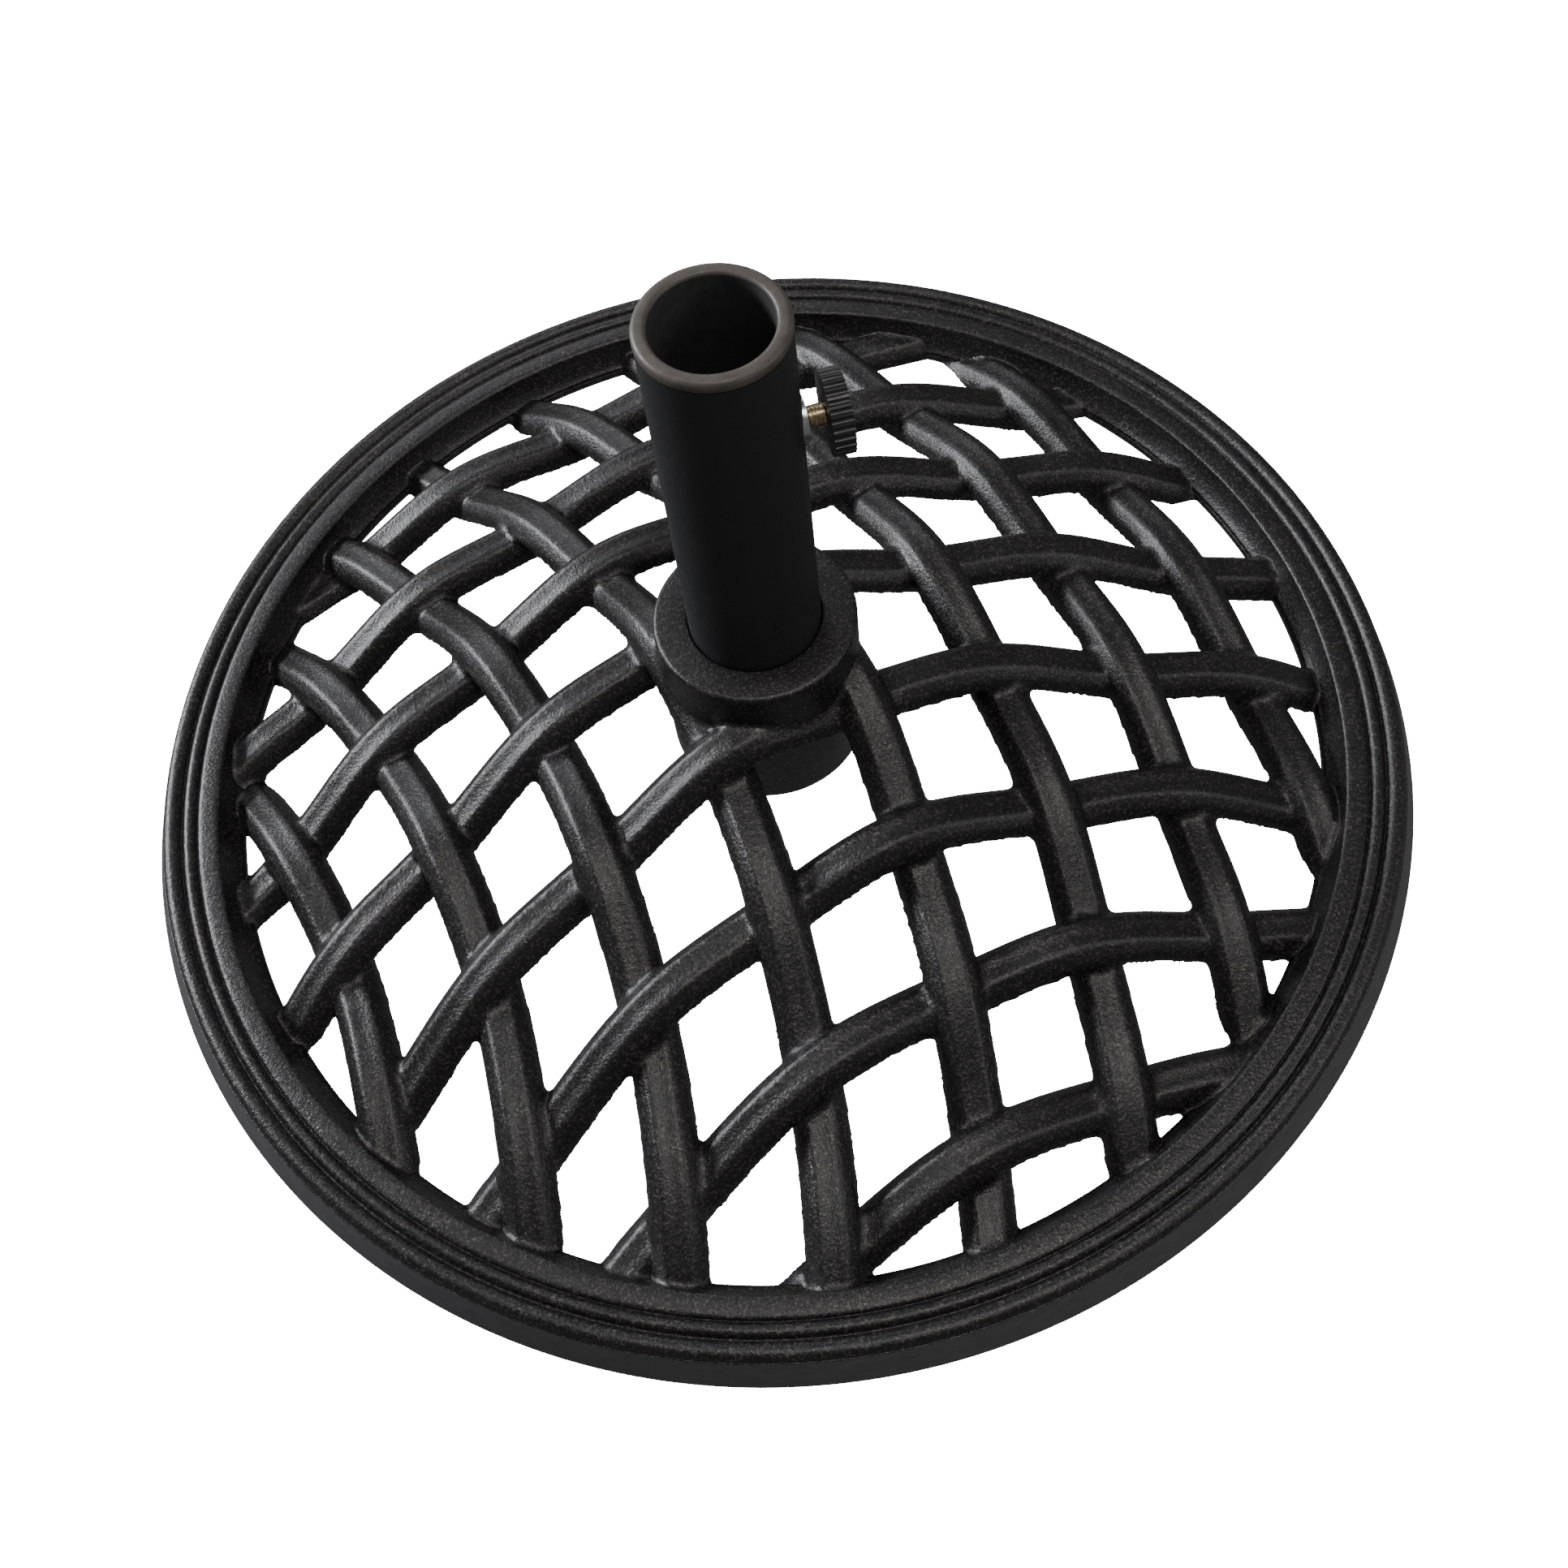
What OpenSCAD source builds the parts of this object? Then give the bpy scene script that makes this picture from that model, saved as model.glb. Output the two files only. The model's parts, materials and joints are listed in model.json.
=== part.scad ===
// Woven cast base for a garden umbrella.
// A round casting carries a basket-weave dome and a central hub. A steel tube stands in the
// hub, held from below by one bolt. A plastic sleeve lines the tube's mouth, and a thumbscrew
// through the tube's wall clamps the umbrella pole. Units are millimetres, +Z is up, the origin
// is on the tube's axis at floor level, and the thumbscrew points along +X.

/* [Rim] */
// Radius of the rim at its foot
rim_r = 250; // [225:1:310]
// Height of the smooth side band
side_h = 13.5; // [11:0.5:18]
// How far the side band leans in from foot to top
side_draft = 4.5; // [2:0.5:7]
// Radial width of the moulded rim, from its foot to its inner wall
rim_w = 28; // [26:1:36]
// Width of the flat ledge inside the rim's wall
ledge_w = 6.5; // [5:0.5:12]
// Thickness of the ledge
ledge_t = 4; // [3:0.5:6]

/* [Weave] */
// Distance from the outermost strips' middle lines to the rim's inner wall, across the hub
edge_gap = 38; // [30:1:50]
// Loss of distance with each further strip
pitch_loss = 0.7; // [0:0.1:1]
// Width of a strip at its foot
strip_w = 20; // [16:0.5:20.5]
// How far each flank of a strip leans in from foot to crown
strip_draft = 1; // [0.5:0.25:1.5]
// Depth of a strip
strip_d = 10; // [9.5:0.5:14]
// Height of a strip's bevelled crown
crown_h = 3.5; // [1:0.5:5]
// Rise and fall of a strip where it crosses another
weave_h = 4; // [1:0.25:4.25]
// Radius of curvature of the middle strips in plan
strip_bow_r = 500; // [420:10:900]
// Direction in plan that both families of strips bow away from
weave_axis = 238; // [0:1:359]
// Sideways shift of the first family of strips from the hub's axis
weave_shift_a = -2.5; // [-8:0.5:8]
// Sideways shift of the second family of strips from the hub's axis
weave_shift_b = -4; // [-8:0.5:8]
// Strips in each family
strip_count = 8; // [8:2:10]

/* [Dome] */
// Height of the strips' middle line at the hub, above the floor
dome_top = 82; // [70:1:95]
// Height of the strips' middle line at the rim, above the floor
dome_edge = 9.5; // [9:0.5:14]
// Exponent of the dome's slope, 1 for a straight cone
dome_power = 1.09; // [1:0.01:1.5]

/* [Hub] */
// Radius of the hub's body
hub_r = 37; // [32:0.5:46]
// Height of the hub's top face above the floor
hub_top = 102; // [98:1:112]
// Height of the hub's bottom edge above the floor
hub_bottom = 33; // [29:1:37]
// Height of the socket's floor, where the tube stands
socket_z = 62; // [58:1:66]
// Thickness of the web between the socket and the bolt's recess
hub_web = 17; // [13:1:18]
// Radius of the recess for the bolt's head
recess_r = 18; // [16:0.5:22]

/* [Tube] */
// Outer diameter of the tube
tube_d = 48; // [46:0.1:58]
// Wall of the tube
tube_wall = 2; // [1.5:0.25:2.5]
// Height of the stand, to the top of the sleeve's lip
total_h = 252; // [228:1:310]
// Thickness of the threaded plug in the tube's foot
plug_t = 12; // [10:1:16]

/* [Sleeve] */
// Bore for the umbrella pole
sleeve_bore = 38.6; // [32:0.1:39]
// Thickness of the sleeve's lip over the tube's end
lip_t = 4; // [3:0.5:6]
// How far the lip stands out past the tube
lip_over = 0.25; // [0:0.25:2]
// Length of the sleeve inside the tube
sleeve_l = 78; // [66:1:100]

/* [Thumbscrew] */
// Thread diameter of the thumbscrew
screw_d = 8; // [6:0.1:10]
// Depth of the thumbscrew's axis below the tube's top end
screw_drop = 47.5; // [36:0.5:56]
// Radius of the grooved knob
knob_r = 14; // [12:0.5:20]
// Thickness of the knob
knob_t = 7; // [6:0.5:14]
// Bare thread between the tube's wall and the knob, with no pole in
thread_gap = 7.5; // [6.5:0.5:10]
// Number of grooves round the knob
knob_grooves = 30; // [16:1:32]

/* [Feet and bolt] */
// Diameter of a foot's pad
foot_d = 16; // [12:0.5:18]
// Height that the feet hold the rim off the floor
foot_gap = 2; // [1:0.25:3]
// Depth of the foot's pocket in the rim
foot_pocket = 2; // [1:0.25:3]
// Diameter of the clamp bolt
bolt_d = 10; // [8:1:12]

/* [Hidden] */
$fn = 96;

// Clearances, as gaps between radii or faces
socket_gap = 0.3;
sleeve_gap = 0.2;
thread_fit = 0.05;
slot_gap = 0.7;
seat_gap = 0.1;
bolt_hole_gap = 0.5;
// A small depth that makes a cut pass clean through a face
cut = 1;

// One foot per rubber_foot node
foot_count = 6;

// Rim
rim_z = foot_gap;
side_top_r = rim_r - side_draft;
rim_wall_r = rim_r - rim_w;
ledge_r = rim_wall_r - ledge_w;
wall_slope = rim_w * 0.16;
bead_r = 3.6;
bead_x = side_top_r - 0.8 - bead_r;
bead_small_r = 2.6;
bead_small_x = bead_x - bead_r - 0.8 - bead_small_r;
band_r = bead_small_x - bead_small_r - 0.8;
band_crown = 2.8;
// Rise of the grooves' floors and of the small bead's centre above the side band
groove_z = 0.9;
bead_small_z = 0.7;

// Weave
strip_last = (strip_count - 1) / 2;
strip_pitch = (rim_wall_r - edge_gap + pitch_loss * strip_last * strip_last) / strip_last;
strip_end_r = rim_wall_r + 2;
ring_step = strip_pitch / 4;
flat_top = 0.22;
strip_floor = rim_z + 0.5;
slope_run = rim_wall_r - 5 - hub_r;

// Hub and tube
socket_r = tube_d / 2 + socket_gap;
web_z = socket_z - hub_web;
hub_fillet = 2;
tube_r = tube_d / 2;
tube_in_r = tube_r - tube_wall;
tube_top = total_h - lip_t;
foot_circle = rim_r - rim_w / 2;
bolt_r = bolt_d / 2;
washer_r = bolt_r * 3;
washer_t = 2;
lock_r = bolt_r * 1.8;
lock_t = 2.5;
lock_slit = 2;
head_h = bolt_d * 0.64;
head_r = bolt_d * 0.98;
head_top = web_z - washer_t - lock_t;

// Sleeve and thumbscrew
sleeve_r = tube_in_r - sleeve_gap;
lip_r = tube_r + lip_over;
screw_z = tube_top - screw_drop;
screw_r = screw_d / 2;
nut_r = screw_r + 1.5;
nut_flange_r = nut_r + 2;
nut_flange_t = 1.2;
nut_in_x = sleeve_bore / 2 + 0.7;
slot_w = 2 * (nut_r + slot_gap);
tip_x = sleeve_bore / 2 + 0.3;
tip_t = 1.6;
tip_r = screw_r - 0.35;
tip_gap = 0.3;
spigot_r = screw_r * 0.5;
spigot_l = 4;
stud_in_x = tip_x + tip_t + tip_gap;
knob_x = tube_r + thread_gap;
knob_groove_r = 1.1;
knob_groove_depth = 0.8;
stud_out_x = knob_x + knob_t * 0.7;
stem_r = 3;
stem_h = 6;

// Distance of strip k from the hub's axis; k runs in half steps either side of the hub
function weave_shift(f) = f == 0 ? weave_shift_a : weave_shift_b;
function strip_offset(f, k) = weave_shift(f) + strip_pitch * k - pitch_loss * k * abs(k);

// The number, with fractions, of family f's strip that lies at a distance d from the hub's axis
function strip_number(f, d) =
    let (s = d - weave_shift(f), a = abs(s))
    sign(s) * (pitch_loss == 0 ? a / strip_pitch
        : (strip_pitch - sqrt(strip_pitch * strip_pitch - 4 * pitch_loss * a)) / (2 * pitch_loss));

// Direction from the hub to the centre of a family's arcs, and that centre
function family_dir(f) = weave_axis + (f == 0 ? -45 : 45);
function family_centre(f) = strip_bow_r * [cos(family_dir(f)), sin(family_dir(f))];

// Height of the dome's surface at a distance r from the hub's axis
function dome_z(r) = dome_edge + (dome_top - dome_edge)
    * (1 - pow(max(r - hub_r, 0) / slope_run, dome_power));

// Rise of strip k of family f at the plan point p: over and under by turns
function weave_z(f, k, p) =
    let (d = norm(p - family_centre(1 - f)) - strip_bow_r, other = strip_number(1 - f, d))
    (f == 0 ? -1 : 1) * weave_h * cos(180 * (k - other));

// Half of the angle that strip k spans, seen from the centre of its arc
function strip_half_angle(radius) =
    acos((strip_bow_r * strip_bow_r + radius * radius - strip_end_r * strip_end_r)
        / (2 * strip_bow_r * radius));

// The strip's section: across, and down from its crown
strip_top_w = strip_w - 2 * strip_draft;
strip_section = [[-strip_w / 2, -strip_d], [strip_w / 2, -strip_d], [strip_top_w / 2, -crown_h],
    [strip_w * flat_top, 0], [-strip_w * flat_top, 0], [-strip_top_w / 2, -crown_h]];

// One ring of the strip's skin, at the angle t along its arc
function strip_ring(f, k, radius, t) =
    let (a = family_dir(f) + 180 + t, n = [cos(a), sin(a)],
         p = family_centre(f) + radius * n, top = dome_z(norm(p)) + weave_z(f, k, p))
    [for (q = strip_section)
        [p.x + q.x * n.x, p.y + q.x * n.y, max(top + q.y, strip_floor + (q.y > -strip_d ? 1 : 0))]];

// Triangles of a swept skin with closed ends: rings of m points, n rings
function skin_faces(n, m) = concat(
    [for (i = [0 : n - 2], j = [0 : m - 1])
        [i * m + j, i * m + (j + 1) % m, (i + 1) * m + j]],
    [for (i = [0 : n - 2], j = [0 : m - 1])
        [i * m + (j + 1) % m, (i + 1) * m + (j + 1) % m, (i + 1) * m + j]],
    [for (j = [1 : m - 2]) [0, j + 1, j]],
    [for (j = [1 : m - 2]) [(n - 1) * m, (n - 1) * m + j, (n - 1) * m + j + 1]]);

module strip(f, k) {
    radius = strip_bow_r + strip_offset(f, k);
    half = strip_half_angle(radius);
    steps = 2 * ceil(half * radius * PI / 180 / ring_step);
    rings = [for (i = [0 : steps]) strip_ring(f, k, radius, half * (2 * i / steps - 1))];
    polyhedron([for (ring = rings, p = ring) p], skin_faces(len(rings), len(strip_section)));
}

module weave() {
    for (f = [0, 1], k = [-strip_last : strip_last]) strip(f, k);
}

// Section of the rim, with its two beads and the inner band
module rim_section() {
    polygon([[ledge_r, 0], [rim_r, 0], [side_top_r, side_h], [bead_x, side_h + groove_z],
        [band_r, side_h + groove_z], [band_r - 1.2, side_h + band_crown * 0.8],
        [band_r - 3.5, side_h + band_crown], [rim_wall_r + 2, side_h + band_crown * 0.8],
        [rim_wall_r, side_h - 1], [rim_wall_r - wall_slope, ledge_t], [ledge_r, ledge_t]]);
    translate([bead_x, side_h]) circle(r = bead_r);
    translate([bead_small_x, side_h + bead_small_z]) circle(r = bead_small_r);
}

module rim() {
    translate([0, 0, rim_z]) rotate_extrude() rim_section();
}

// The hub's body, with a rounded top edge
module hub() {
    rotate_extrude() {
        translate([0, hub_bottom]) square([hub_r, hub_top - hub_fillet - hub_bottom]);
        translate([0, hub_bottom]) square([hub_r - hub_fillet, hub_top - hub_bottom]);
        translate([hub_r - hub_fillet, hub_top - hub_fillet]) circle(r = hub_fillet);
    }
}

// Pocket and stem hole for one foot
module foot_hole() {
    translate([0, 0, rim_z - cut]) cylinder(d = foot_d + 2 * socket_gap, h = foot_pocket + cut);
    translate([0, 0, rim_z]) cylinder(r = stem_r + thread_fit, h = foot_pocket + stem_h + cut);
}

module at_foot(i) {
    rotate([0, 0, 360 / foot_count * (i + 0.5)]) translate([foot_circle, 0, 0]) children();
}

// The casting: rim, woven dome and hub in one piece
module base_casting() {
    color([0.13, 0.13, 0.13]) difference() {
        union() {
            rim();
            hub();
            weave();
        }
        translate([0, 0, socket_z]) cylinder(r = socket_r, h = hub_top - socket_z + cut);
        translate([0, 0, web_z - cut]) cylinder(r = bolt_r + bolt_hole_gap, h = hub_web + 2 * cut);
        translate([0, 0, hub_bottom - cut]) cylinder(r = recess_r, h = web_z - hub_bottom + cut);
        for (i = [0 : foot_count - 1]) at_foot(i) foot_hole();
    }
}

// Steel tube with a hole for the rivet nut
module pole_tube() {
    color([0.1, 0.1, 0.11]) difference() {
        translate([0, 0, socket_z]) cylinder(r = tube_r, h = tube_top - socket_z);
        translate([0, 0, socket_z - cut]) cylinder(r = tube_in_r, h = tube_top - socket_z + 2 * cut);
        translate([0, 0, screw_z]) rotate([0, 90, 0]) cylinder(r = nut_r, h = tube_r + cut);
    }
}

// Threaded disc in the tube's foot
module tube_end_plug() {
    color([0.45, 0.45, 0.47]) translate([0, 0, socket_z]) difference() {
        cylinder(r = tube_in_r, h = plug_t);
        translate([0, 0, -cut]) cylinder(r = bolt_r + thread_fit, h = plug_t + 2 * cut);
    }
}

// Hexagon bolt from below, up through the hub's web into the plug
module clamp_bolt() {
    color([0.6, 0.6, 0.62]) {
        translate([0, 0, head_top - head_h]) cylinder(r = head_r, h = head_h, $fn = 6);
        translate([0, 0, head_top - 0.01]) cylinder(r = bolt_r, h = socket_z + plug_t - head_top);
    }
}

// Split spring washer on the bolt
module clamp_lock_washer() {
    color([0.55, 0.55, 0.57]) translate([0, 0, head_top]) difference() {
        cylinder(r = lock_r, h = lock_t);
        translate([0, 0, -cut]) cylinder(r = bolt_r + thread_fit, h = lock_t + 2 * cut);
        translate([0, -lock_slit / 2, -cut]) cube([lock_r + cut, lock_slit, lock_t + 2 * cut]);
    }
}

// Flat washer against the hub's web
module clamp_washer() {
    color([0.65, 0.65, 0.67]) translate([0, 0, web_z - washer_t]) difference() {
        cylinder(r = washer_r, h = washer_t);
        translate([0, 0, -cut]) cylinder(r = bolt_r + thread_fit, h = washer_t + 2 * cut);
    }
}

// Plastic lining of the tube's mouth. Its slot is open below, so it lifts past the thumbscrew.
module pole_sleeve() {
    color([0.55, 0.52, 0.49]) difference() {
        union() {
            translate([0, 0, tube_top - sleeve_l]) cylinder(r = sleeve_r, h = sleeve_l + lip_t);
            translate([0, 0, tube_top + seat_gap]) cylinder(r = lip_r, h = lip_t - seat_gap);
        }
        translate([0, 0, tube_top - sleeve_l - cut])
            cylinder(d = sleeve_bore, h = sleeve_l + lip_t + 2 * cut);
        translate([0, 0, screw_z]) rotate([0, 90, 0]) cylinder(d = slot_w, h = sleeve_r + cut);
        translate([0, -slot_w / 2, tube_top - sleeve_l - cut])
            cube([sleeve_r + cut, slot_w, screw_z - tube_top + sleeve_l + cut]);
    }
}

// Rivet nut in the tube's wall: the thumbscrew's thread
module rivet_nut() {
    color([0.6, 0.58, 0.5]) translate([0, 0, screw_z]) difference() {
        union() {
            translate([nut_in_x, 0, 0]) rotate([0, 90, 0]) cylinder(r = nut_r, h = tube_r - nut_in_x);
            difference() {
                translate([tube_r - 2, 0, 0]) rotate([0, 90, 0])
                    cylinder(r = nut_flange_r, h = 2 + nut_flange_t);
                translate([0, 0, -nut_flange_r - cut])
                    cylinder(r = tube_r, h = 2 * (nut_flange_r + cut));
            }
        }
        rotate([0, 90, 0]) cylinder(r = screw_r + thread_fit, h = tube_r + 2 * cut + nut_flange_t);
    }
}

// Threaded stud of the thumbscrew, bored at its inner end for the pad's spigot
module thumbscrew_stud() {
    color([0.78, 0.72, 0.55]) translate([stud_in_x, 0, screw_z]) rotate([0, 90, 0]) difference() {
        cylinder(r = screw_r, h = stud_out_x - stud_in_x);
        translate([0, 0, -cut]) cylinder(r = spigot_r + thread_fit, h = spigot_l + tip_gap + cut);
    }
}

// Round plastic knob moulded on the stud, with grooves round its edge
module thumbscrew_knob() {
    color([0.08, 0.08, 0.08]) translate([knob_x, 0, screw_z]) rotate([0, 90, 0]) difference() {
        cylinder(r = knob_r, h = knob_t);
        translate([0, 0, -cut]) cylinder(r = screw_r, h = stud_out_x - knob_x + cut);
        for (i = [0 : knob_grooves - 1])
            rotate([0, 0, 360 / knob_grooves * (i + 0.5)])
                translate([knob_r + knob_groove_r - knob_groove_depth, 0, -cut])
                    cylinder(r = knob_groove_r, h = knob_t + 2 * cut, $fn = 24);
    }
}

// Nylon pad that swivels on the stud's inner end and spares the pole's finish
module thumbscrew_tip() {
    color([0.9, 0.9, 0.86]) translate([tip_x, 0, screw_z]) rotate([0, 90, 0]) {
        cylinder(r = tip_r, h = tip_t);
        translate([0, 0, tip_t / 2]) cylinder(r = spigot_r, h = tip_t / 2 + spigot_l);
    }
}

module rubber_foot(i) {
    color([0.05, 0.05, 0.05]) at_foot(i) {
        cylinder(d = foot_d, h = foot_gap + foot_pocket);
        translate([0, 0, foot_gap + foot_pocket - 0.5]) cylinder(r = stem_r, h = stem_h + 0.5);
    }
}

base_casting();
pole_tube();
tube_end_plug();
clamp_bolt();
clamp_lock_washer();
clamp_washer();
pole_sleeve();
rivet_nut();
thumbscrew_stud();
thumbscrew_knob();
thumbscrew_tip();
rubber_foot(0);  // rubber_foot_1
rubber_foot(1);  // rubber_foot_2
rubber_foot(2);  // rubber_foot_3
rubber_foot(3);  // rubber_foot_4
rubber_foot(4);  // rubber_foot_5
rubber_foot(5);  // rubber_foot_6
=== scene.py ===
"""Looks of the woven cast umbrella base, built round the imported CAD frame.

The frame's +Z is up and +X points from the tube's axis to the thumbscrew. Sizes below are in
millimetres and go through mm() on their way into a mesh.
"""

import json
import math

import bpy
import bmesh
import numpy as np
from mathutils import Matrix, Vector

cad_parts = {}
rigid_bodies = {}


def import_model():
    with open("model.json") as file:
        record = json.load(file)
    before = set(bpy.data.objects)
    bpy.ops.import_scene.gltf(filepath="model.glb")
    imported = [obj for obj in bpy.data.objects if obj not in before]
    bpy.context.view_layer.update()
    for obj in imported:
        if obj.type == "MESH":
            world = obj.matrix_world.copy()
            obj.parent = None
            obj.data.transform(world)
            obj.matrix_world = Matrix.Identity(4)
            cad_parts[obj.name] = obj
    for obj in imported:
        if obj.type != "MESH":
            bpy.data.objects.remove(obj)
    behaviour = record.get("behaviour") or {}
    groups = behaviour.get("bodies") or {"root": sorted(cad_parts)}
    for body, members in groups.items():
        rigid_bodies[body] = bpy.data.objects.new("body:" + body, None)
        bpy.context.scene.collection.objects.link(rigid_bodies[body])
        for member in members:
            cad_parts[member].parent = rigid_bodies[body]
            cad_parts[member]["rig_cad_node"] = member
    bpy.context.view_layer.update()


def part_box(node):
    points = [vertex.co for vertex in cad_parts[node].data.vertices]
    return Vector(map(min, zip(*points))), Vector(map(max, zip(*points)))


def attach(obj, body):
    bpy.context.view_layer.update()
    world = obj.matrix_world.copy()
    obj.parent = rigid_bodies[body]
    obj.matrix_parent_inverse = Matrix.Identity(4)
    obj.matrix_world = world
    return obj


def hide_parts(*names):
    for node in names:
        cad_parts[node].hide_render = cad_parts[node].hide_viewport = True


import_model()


def mm(value):
    """Millimetres as metres."""
    return value / 1000.0


def node_box(node):
    """A CAD node's lowest and highest corners in millimetres."""
    low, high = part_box(node)
    return np.array(low) * 1000.0, np.array(high) * 1000.0


# Sizes that come from the frame
CASTING_LOW, CASTING_HIGH = node_box("base_casting")
TUBE_LOW, TUBE_HIGH = node_box("pole_tube")
SLEEVE_LOW, SLEEVE_HIGH = node_box("pole_sleeve")
PLUG_HIGH = node_box("tube_end_plug")[1]
KNOB_LOW, KNOB_HIGH = node_box("thumbscrew_knob")
STUD_LOW, STUD_HIGH = node_box("thumbscrew_stud")

RIM_Z = CASTING_LOW[2]
HUB_TOP = CASTING_HIGH[2]
TUBE_R = TUBE_HIGH[0]
TUBE_WALL = TUBE_R - PLUG_HIGH[0]
SCREW_Z = (KNOB_LOW[2] + KNOB_HIGH[2]) / 2
SCREW_R = (STUD_HIGH[2] - STUD_LOW[2]) / 2
LIP_R = SLEEVE_HIGH[0]

# Sleeve
SLEEVE_PLAY = 0.2
SLEEVE_R = TUBE_R - TUBE_WALL - SLEEVE_PLAY
SLEEVE_BORE_R = 19.3
SLEEVE_AROUND = 192
LIP_GAP = 0.1
SLOT_W = 12.4
SLOT_REACH = 5.0
SLEEVE_MERGE = mm(0.02)

# Thumbscrew's stud
THREAD_PITCH = 1.25
THREAD_DEPTH = 0.65
THREAD_PLAY = 0.05
THREAD_START = 1.0
STUD_CHAMFER = 0.5
STUD_NOSE = 0.9
SPIGOT_BORE_R = 2.05
SPIGOT_BORE_L = 4.3
STUD_AROUND = 40
STEPS_PER_THREAD = 8

# Rim: drafted side band, two beads, a crowned band and the inner wall, above RIM_Z
RIM_R = 250.0
RIM_W = 28.0
SIDE_H = 13.5
SIDE_DRAFT = 4.5
EDGE_ROUND = 1.2
SHOULDER_ROUND = 1.0
BEAD_R = 3.6
BEAD_SMALL_R = 2.6
BEAD_SMALL_RISE = 0.7
GROOVE_R = 0.8
GROOVE_RISE = 0.9
BAND_CROWN = 1.9
RIM_WALL_R = RIM_R - RIM_W
WALL_LEAN = 0.16
WALL_FOOT_R = RIM_WALL_R - RIM_W * WALL_LEAN
LEDGE_W = 6.5
LEDGE_R = RIM_WALL_R - LEDGE_W
LEDGE_T = 4.0
RIM_AROUND = 384

# Weave: where the strips lie follows the CAD's rule, with the CAD's values
STRIP_COUNT = 8
EDGE_GAP = 38.0
PITCH_LOSS = 0.7
WEAVE_H = 4.0
STRIP_BOW_R = 500.0
WEAVE_AXIS = 238.0
WEAVE_SHIFT = (-2.5, -4.0)
STRIP_LAST = (STRIP_COUNT - 1) / 2
STRIP_PITCH = (RIM_WALL_R - EDGE_GAP + PITCH_LOSS * STRIP_LAST**2) / STRIP_LAST
STRIP_END_R = RIM_WALL_R + 2.0
STRIP_FLOOR = RIM_Z + 0.5

# Strips: the section has a finer crown than the CAD's, and a slightly wider foot
STRIP_W_TOP = 17.8
STRIP_W_FOOT = 21.4
STRIP_D = 10.0
STRIP_CROWN_H = 4.6
STRIP_RIDGE_X = 4.6
STRIP_DIP = 0.7
STRIP_FLANK_ROUND = 5.0
STRIP_RIDGE_ROUND = 1.4
STRIP_DIP_ROUND = 5.0
STRIP_STEP = 3.0
STRIP_SQUASH = 0.1

# Dome
DOME_TOP = 82.0
DOME_EDGE = 9.5
DOME_POWER = 1.09
DOME_RUN_TRIM = 5.0

# Hub
HUB_R = 37.0
HUB_BOTTOM = 33.0
SOCKET_Z = TUBE_LOW[2]
SOCKET_R = TUBE_R + 0.3
WEB_Z = SOCKET_Z - 17.0
RECESS_R = 18.0
BOLT_HOLE_R = 5.5

# Skin over the weave: how far its cores lie under the finished rim and hub, its grain, and how
# often and by what share its points are averaged
CORE_INSET = 0.3
SKIN_VOXEL = 1.0
SKIN_PASSES = 4
SKIN_SHARE = 0.5
FILLET_PASSES = 3
FILLET_SHARE = 0.9
LAST_SHARE = 0.4

AROUND = 256


# ---------------------------------------------------------------- meshes


def shade_smooth(mesh):
    """Smooth shading on every face."""
    mesh.polygons.foreach_set("use_smooth", [True] * len(mesh.polygons))


def new_object(name, points, faces, material=None):
    """A smooth-shaded mesh object from points in millimetres."""
    mesh = bpy.data.meshes.new(name)
    mesh.from_pydata([tuple(p) for p in np.asarray(points, float) / 1000.0], [], [tuple(f) for f in faces])
    shade_smooth(mesh)
    mesh.update()
    made = bpy.data.objects.new(name, mesh)
    bpy.context.scene.collection.objects.link(made)
    if material is not None:
        made.data.materials.append(material)
    return made


def arc(cx, cz, r, start, end, steps):
    """Points of a circular arc, angles in degrees."""
    return [
        (cx + r * math.cos(math.radians(a)), cz + r * math.sin(math.radians(a)))
        for a in np.linspace(start, end, steps + 1)
    ]


def rounded(corners, steps=5):
    """A closed outline with rounded corners. A corner is (across, height, radius of its rounding)."""
    out = []
    count = len(corners)
    for i, corner in enumerate(corners):
        here = np.array(corner[:2], float)
        before = np.array(corners[i - 1][:2], float) - here
        after = np.array(corners[(i + 1) % count][:2], float) - here
        own = corner[2]
        if own <= 0:
            out.append(tuple(here))
            continue
        la, lb = np.linalg.norm(before), np.linalg.norm(after)
        before, after = before / la, after / lb
        half = math.acos(np.clip(before @ after, -1, 1)) / 2
        reach = min(own / math.tan(half), 0.49 * la, 0.49 * lb)
        own = reach * math.tan(half)
        middle = before + after
        middle = here + middle / np.linalg.norm(middle) * (own / math.sin(half))
        first, last = here + before * reach - middle, here + after * reach - middle
        a0, a1 = math.atan2(first[1], first[0]), math.atan2(last[1], last[0])
        turn = (a1 - a0 + math.pi) % (2 * math.pi) - math.pi
        for k in range(steps + 1):
            a = a0 + turn * k / steps
            out.append((middle[0] + own * math.cos(a), middle[1] + own * math.sin(a)))
    return out


def lathe(name, outline, material=None, steps=AROUND):
    """Turns a closed outline of (radius, height) about the Z axis."""
    outline = [(max(r, 0.0), z) for r, z in outline]
    n = len(outline)
    angles = np.arange(steps) * 2 * math.pi / steps
    ring = np.array(outline)
    points = np.stack(
        [
            ring[None, :, 0] * np.cos(angles)[:, None],
            ring[None, :, 0] * np.sin(angles)[:, None],
            np.repeat(ring[None, :, 1], steps, 0),
        ],
        -1,
    ).reshape(-1, 3)
    i, j = np.meshgrid(np.arange(steps), np.arange(n), indexing="ij")
    i2, j2 = (i + 1) % steps, (j + 1) % n
    faces = np.stack([i * n + j, i2 * n + j, i2 * n + j2, i * n + j2], -1).reshape(-1, 4)
    made = new_object(name, points, faces, material)
    clean(made)
    return made


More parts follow.
